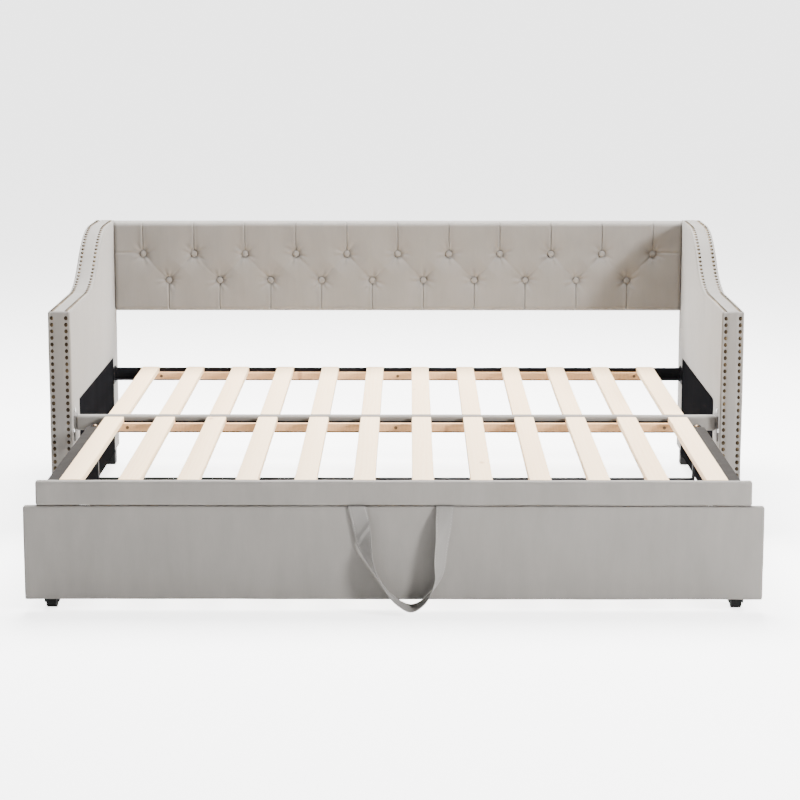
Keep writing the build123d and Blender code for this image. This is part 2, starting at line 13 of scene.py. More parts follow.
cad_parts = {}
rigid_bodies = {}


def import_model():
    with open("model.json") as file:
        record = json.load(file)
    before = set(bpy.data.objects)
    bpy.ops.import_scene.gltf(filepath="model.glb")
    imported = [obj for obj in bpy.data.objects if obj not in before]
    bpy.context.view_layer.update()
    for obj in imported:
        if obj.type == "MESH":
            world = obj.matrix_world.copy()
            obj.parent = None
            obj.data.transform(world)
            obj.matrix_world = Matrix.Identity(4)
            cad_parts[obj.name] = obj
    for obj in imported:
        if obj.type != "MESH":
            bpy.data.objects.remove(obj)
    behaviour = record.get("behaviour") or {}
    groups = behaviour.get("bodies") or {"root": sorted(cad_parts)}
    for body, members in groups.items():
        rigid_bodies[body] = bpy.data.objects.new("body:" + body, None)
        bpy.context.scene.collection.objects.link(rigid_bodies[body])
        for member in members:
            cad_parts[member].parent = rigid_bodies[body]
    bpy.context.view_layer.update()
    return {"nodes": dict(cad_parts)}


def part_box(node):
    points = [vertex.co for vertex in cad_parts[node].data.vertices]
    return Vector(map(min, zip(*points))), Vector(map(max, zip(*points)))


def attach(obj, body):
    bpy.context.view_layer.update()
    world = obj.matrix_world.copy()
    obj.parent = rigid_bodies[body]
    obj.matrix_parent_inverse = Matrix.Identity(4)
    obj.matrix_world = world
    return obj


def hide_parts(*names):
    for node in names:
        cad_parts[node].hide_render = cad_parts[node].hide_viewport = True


bpy.ops.object.select_all(action="SELECT")
bpy.ops.object.delete()
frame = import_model()
bpy.ops.object.select_all(action="DESELECT")

# %% [markdown]
# ## Small helpers
# Every operator works on what is selected, so a helper that calls one first selects its own piece.
# A finished piece keeps its object at the origin, and its place is in its mesh.

# %% Helpers for selecting, shaping and finishing
MM = 0.001
SIDES = (("left", -1), ("right", 1))
SAME_PLACE = 0.00001  # points closer together than this become one


def only(piece):
    bpy.ops.object.select_all(action="DESELECT")
    piece.select_set(True)
    bpy.context.view_layer.objects.active = piece


def settle(piece):
    """Puts the object's place, turn and size into its mesh."""
    only(piece)
    bpy.ops.object.transform_apply(location=True, rotation=True, scale=True)
    return piece


def edit(piece, *steps):
    """Runs edit-mode operators on everything in the piece."""
    only(piece)
    bpy.ops.object.mode_set(mode="EDIT")
    bpy.ops.mesh.select_all(action="SELECT")
    for step in steps:
        step()
    bpy.ops.object.mode_set(mode="OBJECT")
    return piece


def apply_modifier(piece, kind, **settings):
    modifier = piece.modifiers.new(kind.title(), kind)
    for name, value in settings.items():
        setattr(modifier, name, value)
    only(piece)
    bpy.ops.object.modifier_apply(modifier=modifier.name)
    return piece


def smooth(piece, degrees=40):
    only(piece)
    bpy.ops.object.shade_smooth_by_angle(angle=math.radians(degrees))
    return piece


def outward(piece):
    """Merges doubles and turns every face outwards."""
    return edit(
        piece,
        lambda: bpy.ops.mesh.remove_doubles(threshold=SAME_PLACE),
        lambda: bpy.ops.mesh.normals_make_consistent(inside=False),
    )


def brick(name, low, high):
    """A cube primitive stretched between two corners: the start of many pieces."""
    low, high = Vector(low), Vector(high)
    bpy.ops.mesh.primitive_cube_add(size=1, location=(low + high) / 2)
    piece = bpy.context.object
    piece.name = name
    piece.scale = high - low
    return settle(piece)


def join(pieces, name):
    bpy.ops.object.select_all(action="DESELECT")
    for piece in pieces:
        piece.select_set(True)
    bpy.context.view_layer.objects.active = pieces[0]
    bpy.ops.object.join()
    pieces[0].name = name
    return pieces[0]


def copy_to(base, matrix):
    """A copy with its own mesh, put in place by a matrix."""
    twin = base.copy()
    twin.data = base.data.copy()
    twin.data.transform(matrix)
    bpy.context.collection.objects.link(twin)
    return twin


def wave(point, scale, seed=0.0):
    """Smooth noise between about -1 and 1, the same on every run."""
    return noise.noise(Vector(point) / scale + Vector((seed, seed * 1.7, -seed)))


print("helpers ready")

# %% [markdown]
# ## Shared shader groups
# Nap, grain and fine texture are used by several finishes, so each is one node group with
# named inputs. A group puts out colours, masks or heights, and the shader stays in the material.

# %% Node group helpers


class Nodes:
    """Adds and links shader nodes in a few words."""

    def __init__(self, tree):
        self.tree = tree

    def add(self, kind, _settings=None, **inputs):
        node = self.tree.nodes.new(kind)
        for name, value in (_settings or {}).items():
            setattr(node, name, value)
        for name, value in inputs.items():
            self.feed(node.inputs[name.replace("_", " ")], value)
        return node

    def feed(self, socket, value):
        if isinstance(value, bpy.types.NodeSocket):
            self.tree.links.new(value, socket)
        else:
            socket.default_value = value

    def math(self, operation, *values):
        node = self.tree.nodes.new("ShaderNodeMath")
        node.operation = operation
        for socket, value in zip(node.inputs, values):
            self.feed(socket, value)
        return node.outputs[0]

    def noise(self, vector, scale, detail=3.0, roughness=0.55):
        node = self.add("ShaderNodeTexNoise", Scale=scale, Detail=detail, Roughness=roughness)
        self.feed(node.inputs["Vector"], vector)
        return node.outputs["Fac"]

    def stretch(self, vector, scale):
        node = self.add("ShaderNodeMapping", Scale=scale)
        self.feed(node.inputs["Vector"], vector)
        return node.outputs[0]

    def mix(self, fac, a, b):
        node = self.add("ShaderNodeMix", {"data_type": "RGBA"})
        self.feed(node.inputs[0], fac)
        self.feed(node.inputs[6], a)
        self.feed(node.inputs[7], b)
        return node.outputs[2]

    def remap(self, value, low, high, to_low, to_high):
        node = self.add("ShaderNodeMapRange")
        for socket, item in zip(node.inputs, (value, low, high, to_low, to_high)):
            self.feed(socket, item)
        return node.outputs[0]


def new_group(name, inputs, outputs):
    """A shader group; inputs are (name, socket type, default) and outputs (name, type)."""
    tree = bpy.data.node_groups.new(name, "ShaderNodeTree")
    for title, kind, default in inputs:
        socket = tree.interface.new_socket(title, in_out="INPUT", socket_type=kind)
        if default is not None:
            socket.default_value = default
    for title, kind in outputs:
        tree.interface.new_socket(title, in_out="OUTPUT", socket_type=kind)
    source = tree.nodes.new("NodeGroupInput")
    target = tree.nodes.new("NodeGroupOutput")
    return tree, Nodes(tree), source.outputs, target.inputs


# %% Velvet nap group
SURFACE_OUTPUTS = [
    ("Colour", "NodeSocketColor"),
    ("Roughness", "NodeSocketFloat"),
    ("Height", "NodeSocketFloat"),
]
BRUSH_SIZE = 34.0
THREAD_SIZE = 420.0


def make_nap():
    """Brushed light and dark patches, plus the fine pile of the cloth."""
    floats = [("Patch size", 9.0), ("Patch strength", 0.12), ("Pile size", 900.0)]
    inputs = [("Vector", "NodeSocketVector", None), ("Tint", "NodeSocketColor", (0.5, 0.5, 0.5, 1))]
    inputs += [(title, "NodeSocketFloat", value) for title, value in floats]
    tree, n, source, target = new_group("Velvet nap", inputs, SURFACE_OUTPUTS)
    bent = n.stretch(source["Vector"], (1.0, 1.0, 0.45))
    patch = n.noise(bent, source["Patch size"], detail=4.0, roughness=0.6)
    upright = n.stretch(source["Vector"], (1.0, 1.0, 0.2))
    brush = n.noise(upright, BRUSH_SIZE, detail=3.0, roughness=0.5)
    pile = n.noise(source["Vector"], source["Pile size"], detail=2.0, roughness=0.7)
    drawn_out = n.stretch(source["Vector"], (1.0, 1.0, 0.08))
    thread = n.noise(drawn_out, THREAD_SIZE, detail=2.0, roughness=0.6)
    tone = n.math("MULTIPLY", n.math("SUBTRACT", patch, 0.5), source["Patch strength"])
    brushed = n.math("SUBTRACT", brush, 0.5)
    fine = n.math("MULTIPLY", brushed, n.math("MULTIPLY", source["Patch strength"], 0.55))
    weave = n.math("MULTIPLY", n.math("SUBTRACT", thread, 0.5), 0.06)
    level = n.math("ADD", n.math("ADD", tone, fine), n.math("ADD", weave, 1.0))
    colour = n.add("ShaderNodeVectorMath", {"operation": "SCALE"})
    n.feed(colour.inputs[0], source["Tint"])
    n.feed(colour.inputs["Scale"], level)
    n.feed(target["Colour"], colour.outputs[0])
    n.feed(target["Roughness"], n.remap(patch, 0.3, 0.7, 0.72, 0.9))
    n.feed(target["Height"], n.math("ADD", pile, n.math("MULTIPLY", thread, 0.8)))
    return tree


nap_group = make_nap()


# %% Wood grain group
def make_grain():
    """Long growth lines, soft bands, pores and an odd knot, all running along Y."""
    inputs = [("Vector", "NodeSocketVector", None)]
    inputs += [(name, "NodeSocketColor", (0.8, 0.7, 0.5, 1)) for name in ("Light", "Dark", "Knot")]
    tree, n, source, target = new_group("Wood grain", inputs, SURFACE_OUTPUTS)
    along = n.stretch(source["Vector"], (1.0, 0.06, 1.0))
    drift = n.noise(along, 6.0, detail=2.0, roughness=0.5)
    rings = n.add("ShaderNodeTexWave", {"wave_type": "BANDS", "bands_direction": "X"})
    n.feed(rings.inputs["Vector"], along)
    for name, value in (("Scale", 26.0), ("Distortion", 9.0), ("Detail", 3.0), ("Detail Scale", 1.3)):
        rings.inputs[name].default_value = value
    fibres = n.stretch(source["Vector"], (1.0, 0.02, 1.0))
    streak = n.noise(fibres, 220.0, detail=3.0, roughness=0.6)
    boards = n.stretch(source["Vector"], (1.0, 0.03, 0.2))
    board = n.noise(boards, 4.3, detail=1.0, roughness=0.5)
    knots = n.add("ShaderNodeTexVoronoi", {"feature": "F1"}, Scale=3.1)
    n.feed(knots.inputs["Vector"], n.stretch(source["Vector"], (2.2, 1.0, 0.5)))
    spot = n.remap(knots.outputs["Distance"], 0.035, 0.075, 1.0, 0.0)
    bands = n.math("MULTIPLY", rings.outputs["Fac"], n.remap(drift, 0.35, 0.7, 0.15, 0.75))
    tone = n.math("ADD", n.math("MULTIPLY", bands, 0.55), n.math("MULTIPLY", streak, 0.35))
    tone = n.math("ADD", tone, n.remap(board, 0.3, 0.7, -0.12, 0.22))
    colour = n.mix(tone, source["Light"], source["Dark"])
    colour = n.mix(n.math("MULTIPLY", spot, 0.7), colour, source["Knot"])
    n.feed(target["Colour"], colour)
    n.feed(target["Roughness"], n.remap(streak, 0.3, 0.7, 0.48, 0.66))
    n.feed(target["Height"], n.math("SUBTRACT", streak, n.math("MULTIPLY", bands, 0.4)))
    return tree


grain_group = make_grain()


# %% Coated surface group
def make_coat():
    """Fine orange peel or moulded texture, with rubbed patches."""
    inputs = [
        ("Vector", "NodeSocketVector", None),
        ("Base", "NodeSocketColor", (0.02, 0.02, 0.02, 1)),
        ("Worn", "NodeSocketColor", (0.06, 0.06, 0.06, 1)),
        ("Peel size", "NodeSocketFloat", 700.0),
        ("Rough", "NodeSocketFloat", 0.45),
    ]
    tree, n, source, target = new_group("Coated surface", inputs, SURFACE_OUTPUTS)
    peel = n.noise(source["Vector"], source["Peel size"], detail=2.0, roughness=0.5)
    rubbed = n.noise(source["Vector"], 14.0, detail=5.0, roughness=0.65)
    mask = n.remap(rubbed, 0.52, 0.75, 0.0, 0.7)
    n.feed(target["Colour"], n.mix(mask, source["Base"], source["Worn"]))
    n.feed(target["Roughness"], n.math("ADD", source["Rough"], n.remap(rubbed, 0.3, 0.7, -0.06, 0.1)))
    n.feed(target["Height"], peel)
    return tree


coat_group = make_coat()


# %% Material builder
def finish(name, group, colours, bump=0.2, bump_depth=0.0005, numbers=None, **shader):
    """A Principled material whose colour, roughness and bump come from one of the groups."""
    material = bpy.data.materials.new(name)
    material.use_nodes = True
    n = Nodes(material.node_tree)
    surface = material.node_tree.nodes["Principled BSDF"]
    place = n.add("ShaderNodeTexCoord")
    holder = n.add("ShaderNodeGroup", {"node_tree": group})
    n.feed(holder.inputs["Vector"], place.outputs["Object"])
    for title, value in {**colours, **(numbers or {})}.items():
        holder.inputs[title].default_value = (*value, 1) if isinstance(value, tuple) else value
    n.feed(surface.inputs["Base Color"], holder.outputs["Colour"])
    n.feed(surface.inputs["Roughness"], holder.outputs["Roughness"])
    relief = n.add("ShaderNodeBump", Strength=bump, Distance=bump_depth)
    n.feed(relief.inputs["Height"], holder.outputs["Height"])
    n.feed(surface.inputs["Normal"], relief.outputs["Normal"])
    for title, value in shader.items():
        surface.inputs[title.replace("_", " ")].default_value = value
    return material


# %% [markdown]
# ## Finishes
# Velvet is the main one. Its pile catches light at a grazing angle, so it needs sheen, and its
# colour drifts where a hand has brushed it. Timber, powder coat and bronze follow.

# %% Make the finishes
velvet = finish(
    "Greige velvet", nap_group, {"Tint": (0.205, 0.193, 0.178)}, bump=0.35,
    numbers={"Patch strength": 0.28},
    Sheen_Weight=0.28, Sheen_Roughness=0.3, Sheen_Tint=(0.95, 0.93, 0.9, 1), Specular_IOR_Level=0.15,
)
strap_velvet = finish(
    "Strap velvet", nap_group, {"Tint": (0.19, 0.181, 0.17)}, bump=0.4,
    numbers={"Patch size": 30.0, "Patch strength": 0.2},
    Sheen_Weight=0.3, Sheen_Roughness=0.3, Sheen_Tint=(0.95, 0.93, 0.9, 1), Specular_IOR_Level=0.15,
)
strap_thread = finish(
    "Strap thread", nap_group, {"Tint": (0.46, 0.44, 0.41)}, bump=0.4, Specular_IOR_Level=0.1,
)
lining_cloth = finish(
    "Black lining", nap_group, {"Tint": (0.008, 0.008, 0.009)}, bump=0.5,
    numbers={"Pile size": 1400.0, "Patch strength": 0.5}, Specular_IOR_Level=0.0,
)
pine = finish(
    "Pale pine", grain_group,
    {"Light": (0.98, 0.76, 0.50), "Dark": (0.90, 0.62, 0.36), "Knot": (0.6, 0.36, 0.18)},
    bump=0.25, Specular_IOR_Level=0.3,
)
cleat_wood = finish(
    "Cleat timber", grain_group,
    {"Light": (0.70, 0.42, 0.21), "Dark": (0.52, 0.28, 0.13), "Knot": (0.36, 0.18, 0.09)},
    bump=0.25, Specular_IOR_Level=0.3,
)
black_coat = finish(
    "Black powder coat", coat_group, {"Base": (0.008, 0.008, 0.009), "Worn": (0.02, 0.02, 0.02)},
    bump=0.15, numbers={"Rough": 0.5}, Specular_IOR_Level=0.05,
)
grey_coat = finish(
    "Grey side rail", coat_group, {"Base": (0.03, 0.027, 0.025), "Worn": (0.048, 0.044, 0.041)},
    bump=0.15, numbers={"Rough": 0.55}, Specular_IOR_Level=0.04,
)
black_mould = finish(
    "Moulded black", coat_group, {"Base": (0.013, 0.013, 0.013), "Worn": (0.03, 0.03, 0.03)},
    bump=0.3, numbers={"Peel size": 380.0, "Rough": 0.55}, Specular_IOR_Level=0.15,
)
greige_plate = finish(
    "Greige plate", coat_group, {"Base": (0.17, 0.16, 0.15), "Worn": (0.2, 0.19, 0.18)}, bump=0.15,
    Specular_IOR_Level=0.1,
)
bronze = finish(
    "Antique bronze", coat_group, {"Base": (0.035, 0.026, 0.017), "Worn": (0.17, 0.125, 0.075)},
    bump=0.4, numbers={"Peel size": 300.0, "Rough": 0.34}, Metallic=1.0,
)
steel = finish(
    "Zinc plated steel", coat_group, {"Base": (0.72, 0.71, 0.69), "Worn": (0.55, 0.54, 0.52)},
    bump=0.12, numbers={"Peel size": 500.0, "Rough": 0.28}, Metallic=1.0,
)
dark_steel = finish(
    "Bronzed screw", coat_group, {"Base": (0.16, 0.11, 0.07), "Worn": (0.3, 0.22, 0.15)},
    bump=0.2, numbers={"Rough": 0.35}, Metallic=1.0,
)
print("finishes", len(bpy.data.materials))


def dress(piece, material):
    piece.data.materials.clear()
    piece.data.materials.append(material)
    return piece


def place(piece, body, material, slot, *nodes):
    """Gives a finished piece its material and its body, and hides the CAD nodes it stands for. The
    slot argument is not used.
    """
    dress(piece, material)
    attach(piece, body)
    if nodes:
        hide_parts(*nodes)
    return piece


# %% [markdown]
# ## Upholstered bars and panels
# The rails and the trundle's panel are boards wrapped in thin foam and velvet. Pulled tight over a
# board, the cloth keeps soft round edges and only a few shallow waves, so each one is a bevelled
# brick, sliced fine enough to carry those waves.

# %% Slice, round and ripple a bar


def slice_along(piece, steps):
    """Bisects a piece about every step along each axis; a step of None leaves that axis whole."""
    corners = [v.co.copy() for v in piece.data.vertices]
    only(piece)
    bpy.ops.object.mode_set(mode="EDIT")
    for axis, step in enumerate(steps):
        if step is None:
            continue
        low = min(c[axis] for c in corners)
        high = max(c[axis] for c in corners)
        count = max(1, round((high - low) / step))
        normal = [0, 0, 0]
        normal[axis] = 1
        for index in range(1, count):
            point = [0, 0, 0]
            point[axis] = low + (high - low) * index / count
            bpy.ops.mesh.select_all(action="SELECT")
            bpy.ops.mesh.bisect(plane_co=point, plane_no=normal)
    bpy.ops.object.mode_set(mode="OBJECT")
    return piece


def rounded_brick(name, low, high, radius, segments=4):
    piece = brick(name, low, high)
    return edit(
        piece,
        lambda: bpy.ops.mesh.bevel(offset=radius, segments=segments, profile=0.5, affect="EDGES"),
    )


def ripple(piece, height, size, seed):
    """Moves each vertex along its normal by smooth noise."""
    mesh = piece.data
    pushes = [v.normal * (height * wave(v.co, size, seed)) for v in mesh.vertices]
    for vertex, push in zip(mesh.vertices, pushes):
        vertex.co += push
    return piece


BAR_SLICES = (0.02, None, 0.014)
SLACK_HEIGHT, SLACK_LENGTH = 1.1 * MM, 0.19
PUCKER_HEIGHT, PUCKER_LENGTH = 0.35 * MM, 0.045


def upholstered_bar(node, body, radius, seed):
    low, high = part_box(node)
    bar = rounded_brick(node + "_velvet", low, high, radius)
    slice_along(bar, BAR_SLICES)
    ripple(bar, SLACK_HEIGHT, SLACK_LENGTH, seed)
    ripple(bar, PUCKER_HEIGHT, PUCKER_LENGTH, seed + 4)
    smooth(outward(bar), 60)
    place(bar, body, velvet, "velvet", node)
    print(bar.name, len(bar.data.polygons), "faces")
    return bar


# %% Make the two rails and the panel
upholstered_bar("front_rail_cover", "daybed", radius=9 * MM, seed=1.3)
upholstered_bar("upper_rail_cover", "trundle_deck", radius=5 * MM, seed=2.1)
upholstered_bar("panel_cover", "trundle_base", radius=5 * MM, seed=3.7)

# %% [markdown]
# ## Arms
# Each arm is a slab whose top sweeps up from a low front to a high back in two equal arcs. It
# starts as a bevelled brick, and every vertex is lowered so that the brick's top follows the sweep.
# Rows of nails press shallow channels into the padding along the front and the top.

# %% The sweep of an arm's top
ARM_LOW_TOP = 0.680
SWEEP_RUN = 0.500
SWEEP_END_BEFORE_REAR = 0.205
NAIL_ROW = 12 * MM          # from each side of the arm to the middle of its row of nails
NAIL_ROW_REACH = 6 * MM
NAIL_CHANNEL = 2.4 * MM
ARM_CROWN = 1.6 * MM        # how far the padding swells between the rows
ARM_EDGE_RADIUS = 6 * MM
ARM_SLICES = (0.0042, 0.016, 0.022)
ARM_TOP_SHARE = 0.9         # above this share of its height, the brick moves as one with its top


def arm_top(y, rear, high):
    """Height of the arm's top at y: level, then two equal arcs, then level again."""
    rise = high - ARM_LOW_TOP
    end = rear - SWEEP_END_BEFORE_REAR
    start = end - SWEEP_RUN
    angle = 2 * math.atan(rise / SWEEP_RUN)
    radius = SWEEP_RUN / 2 / math.sin(angle)
    if y <= start:
        return ARM_LOW_TOP
    if y <= start + SWEEP_RUN / 2:
        return ARM_LOW_TOP + radius - math.sqrt(radius**2 - (y - start) ** 2)
    if y < end:
        return high - radius + math.sqrt(radius**2 - (end - y) ** 2)
    return high


def near_nails(across, width):
    """From 0 to 1: how close a place across the arm's thickness is to a row of nails."""
    row = min(abs(across - NAIL_ROW), abs(width - across - NAIL_ROW))
    return math.exp(-((row / NAIL_ROW_REACH) ** 2))


def make_arm(name, side):
    node = f"arm_cover_{name}"
    low, high = (Vector(corner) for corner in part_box(node))
    arm = rounded_brick(node + "_velvet", low, high, ARM_EDGE_RADIUS)
    slice_along(arm, ARM_SLICES)
    width = high.x - low.x
    for vertex in arm.data.vertices:
        share = (vertex.co.z - low.z) / (high.z - low.z)
        top = arm_top(vertex.co.y, high.y, high.z)
        if share > ARM_TOP_SHARE:
            vertex.co.z -= high.z - top
        else:
            vertex.co.z -= (high.z - top) * share / ARM_TOP_SHARE
    arm.data.update()
    pushes = []
    for vertex in arm.data.vertices:
        n, co = vertex.normal, vertex.co
        push = 0.9 * MM * wave(co, 0.16, side * 5.0) + 0.35 * MM * wave(co, 0.05, side * 9.0)
        if abs(n.x) < 0.6 and (n.y < -0.5 or n.z > 0.5):
            push += ARM_CROWN - NAIL_CHANNEL * near_nails(co.x - low.x, width)
        pushes.append(n * push)
    for vertex, push in zip(arm.data.vertices, pushes):
        vertex.co += push
    smooth(outward(arm), 60)
    place(arm, "daybed", velvet, "velvet", node)
    print(arm.name, len(arm.data.polygons), "faces")


# %% Make both arms
for name, side in SIDES:
    make_arm(name, side)

# %% [markdown]
# ## Linings
# Thin black felt is stapled over the inside of each arm's frame. A flat grid with faint puckers is
# enough, with a narrow lap where two widths of felt meet.

# %% Make the linings
FELT_THICKNESS = 0.6 * MM
FELT_OFF_FACE = 0.9 * MM
FELT_LAP = 0.9 * MM
FELT_HELD_EDGE = 0.03       # within this of an edge, staples hold the felt down


def make_lining(name, side):
    node = f"arm_lining_{name}"
    low, high = (Vector(corner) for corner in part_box(node))
    middle = (low + high) / 2
    bpy.ops.mesh.primitive_grid_add(x_subdivisions=90, y_subdivisions=40, size=1, location=middle)
    felt = bpy.context.object
    felt.name = node + "_felt"
    felt.rotation_euler = (0, math.radians(90), 0)
    felt.scale = (high.z - low.z, high.y - low.y, 1)
    settle(felt)
    face = low.x if side > 0 else high.x
    for vertex in felt.data.vertices:
        y, z = vertex.co.y, vertex.co.z
        edge = min(z - low.z, high.z - z, y - low.y, high.y - y)
        loose = min(1.0, max(0.0, edge) / FELT_HELD_EDGE)
        bulge = 1.2 * MM * loose * abs(wave((0, y, z), 0.11, side * 3.0))
        pucker = 0.4 * MM * (1 - loose) * math.sin(y * 260) * math.sin(z * 240)
        lap = FELT_LAP if abs(y - middle.y) < 0.008 else 0.0
        vertex.co.x = face - side * (FELT_OFF_FACE + bulge + pucker * 0.5 + lap)
    apply_modifier(felt, "SOLIDIFY", thickness=FELT_THICKNESS, offset=0)
    smooth(outward(felt), 50)
    place(felt, "daybed", lining_cloth, "lining", node)
    print(felt.name, "made")


for name, side in SIDES:
    make_lining(name, side)

# %% [markdown]
# ## Tufted back
# Buttons pull the velvet deep into the foam. Cloth runs in straight pleats from the upper buttons
# to the top edge and from the lower ones to the bottom edge, and in softer folds from button to
# button. One height function says how deep the surface lies at each place, and a fine grid takes it.

# %% Where the buttons are
BUTTON_PITCH = 0.176
BUTTON_RADIUS = 11 * MM
UPPER_ROW = (0.738, 11)
LOWER_ROW = (0.646, 10)


def row_of(row):
    height, count = row
    return [Vector(((i - (count - 1) / 2) * BUTTON_PITCH, height)) for i in range(count)]


upper_buttons = row_of(UPPER_ROW)
lower_buttons = row_of(LOWER_ROW)
buttons = upper_buttons + lower_buttons
back_low, back_high = (Vector(corner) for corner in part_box("back_cover"))


def bell(distance, width):
    return math.exp(-((distance / width) ** 2))


# %% How deep the surface lies
PIT_DEPTH, PIT_RADIUS = 11 * MM, 14 * MM
DIP_DEPTH, DIP_RADIUS = 4.5 * MM, 32 * MM
LOFT, LOFT_RADIUS = 4.5 * MM, 0.06
REACH_OF_FOLD = 0.03        # beyond this a pleat or fold has no effect


def straight_pleats(x, z):
    """Grooves that run from each button to the nearest edge, with one side lapped over."""
    deep = 0.0
    for button in upper_buttons if z > UPPER_ROW[0] else lower_buttons:
        beyond = z > UPPER_ROW[0] or z < LOWER_ROW[0]
        if beyond and abs(x - button.x) < REACH_OF_FOLD:
            side = x - button.x
            deep += 4.5 * MM * bell(side, 1.5 * MM) + 1.6 * MM * (side / 0.005) * bell(side, 0.008)
    return deep


def slanted_folds(x, z):
    """Folds between neighbouring buttons of the two rows, deep at the ends, faint in the middle."""
    if not LOWER_ROW[0] <= z <= UPPER_ROW[0]:
        return 0.0
    share = (z - LOWER_ROW[0]) / (UPPER_ROW[0] - LOWER_ROW[0])
    deep = 0.0
    for low_button in lower_buttons:
        for way in (-1, 1):
            line_x = low_button.x + way * share * BUTTON_PITCH / 2
            away = abs(x - line_x) * 0.72
            if away < REACH_OF_FOLD:
                at_end = abs(share - 0.5) * 2
                kept = 0.35 + 0.65 * at_end
                deep += kept * (2.6 * MM * bell(away, 2.8 * MM) + 1.2 * MM * bell(away, 12 * MM))
    return deep


def end_folds(x, z):
    """Short level folds from the outermost buttons to the ends."""
    first = abs(upper_buttons[0].x)
    if abs(x) < first:
        return 0.0
    return 1.8 * MM * bell(z - UPPER_ROW[0] - 0.004, 4 * MM) * min(1, (abs(x) - first) / 0.01)


def puckers(x, z, button, reach):
    """Small creases that fan out round a button."""
    turn = math.atan2(z - button.y, x - button.x)
    phase = button.x * 31 + button.y * 17
    fan = math.cos(7 * turn + phase) + 0.6 * math.cos(11 * turn + 2 * phase)
    return 0.9 * MM * fan * bell(reach - 0.026, 0.015)


def tuft_depth(x, z):
    nearest = min(buttons, key=lambda b: (b.x - x) ** 2 + (b.y - z) ** 2)
    reach = math.hypot(nearest.x - x, nearest.y - z)
    pit = PIT_DEPTH * bell(reach, PIT_RADIUS) + DIP_DEPTH * bell(reach, DIP_RADIUS)
    loft = LOFT * (1 - bell(reach, LOFT_RADIUS))
    folds = straight_pleats(x, z) + slanted_folds(x, z) + end_folds(x, z)
    drift = 0.8 * MM * wave((x, 0, z), 0.1, 7.0) + 0.25 * MM * wave((x, 0, z), 0.03, 2.0)
    return 2 * MM + pit + folds + puckers(x, z, nearest, reach) - loft + drift


def rounded_edge(distance, radius):
    """How far a round edge falls back, at a distance in from the edge."""
    if distance >= radius:
        return 0.0
    return radius - math.sqrt(max(0.0, radius**2 - (radius - distance) ** 2))


# %% Make the back
EDGE_RADIUS = 17 * MM
PLEAT_STEP = BUTTON_PITCH / 2
LAST_PLEAT = 11 * PLEAT_STEP
CROWDING = 0.7              # how far the grid's columns crowd together at each pleat, to keep it sharp
BACK_COLUMNS, BACK_ROWS = 660, 130
MOST_SWELL = 8 * MM


def make_back():
    size = back_high - back_low
    middle = (back_low + back_high) / 2
    bpy.ops.mesh.primitive_grid_add(x_subdivisions=BACK_COLUMNS, y_subdivisions=BACK_ROWS, size=1)
    back = bpy.context.object
    back.name = "back_velvet"
    back.location = (middle.x, back_low.y, middle.z)
    back.rotation_euler = (math.radians(90), 0, 0)
    back.scale = (size.x, size.z, 1)
    settle(back)
    only(back)
    bpy.ops.object.mode_set(mode="EDIT")
    bpy.ops.mesh.select_all(action="DESELECT")
    bpy.ops.mesh.select_mode(type="EDGE")
    bpy.ops.mesh.select_non_manifold()
    move = {"value": (0, size.y, 0)}
    bpy.ops.mesh.extrude_region_move(TRANSFORM_OT_translate=move)
    bpy.ops.mesh.edge_face_add()
    bpy.ops.mesh.select_mode(type="VERT")
    bpy.ops.object.mode_set(mode="OBJECT")
    for vertex in back.data.vertices:
        x, y, z = vertex.co
        if abs(x) < LAST_PLEAT:
            x -= CROWDING * math.sin(2 * math.pi * x / PLEAT_STEP) * PLEAT_STEP / (2 * math.pi)
            vertex.co.x = x
        if y > back_low.y + 1 * MM:
            continue
        depth = tuft_depth(x, z)
        depth += rounded_edge(min(z - back_low.z, back_high.z - z), EDGE_RADIUS)
        depth += 0.6 * rounded_edge(min(x - back_low.x, back_high.x - x), EDGE_RADIUS)
        vertex.co.y = y + max(depth, -MOST_SWELL)
    smooth(outward(back), 70)
    place(back, "daybed", velvet, "velvet", "back_cover")
    print(back.name, len(back.data.polygons), "faces")


make_back()

# %% [markdown]
# ## Covered buttons
# Each button is a shallow dome of the same velvet, tied in at the bottom of its pit.

# %% Make the buttons
BUTTON_FLATNESS = 0.42
BUTTON_SEAT = 9.5 * MM      # how far a button's middle lies behind the back's front


def make_buttons():
    bpy.ops.mesh.primitive_uv_sphere_add(segments=24, ring_count=14, radius=BUTTON_RADIUS)
    dome = bpy.context.object
    dome.rotation_euler = (math.radians(90), 0, 0)
    settle(dome)
    dome.scale = (1, BUTTON_FLATNESS, 1)
    settle(dome)
    seat = back_low.y + BUTTON_SEAT
    copies = [copy_to(dome, Matrix.Translation((b.x, seat, b.y))) for b in buttons]
    bpy.data.objects.remove(dome)
    domes = join(copies, "back_button_domes")
    smooth(domes, 80)
    place(domes, "daybed", velvet, "velvet", "back_buttons")
    print(domes.name, len(buttons))


make_buttons()

# %% [markdown]
# ## Slats and cleats
# Slats are planed softwood strips with eased edges, never quite straight. One function lays a deck
# of twelve across the width of the frame's node, each a bevelled brick with its own slight bow.

# %% Make boards
SLAT_WIDTH = 0.058
SLATS_PER_DECK = 12
SLAT_EDGE = 2 * MM
CLEAT_EDGE = 1.5 * MM
BOARD_SLICE = 0.045


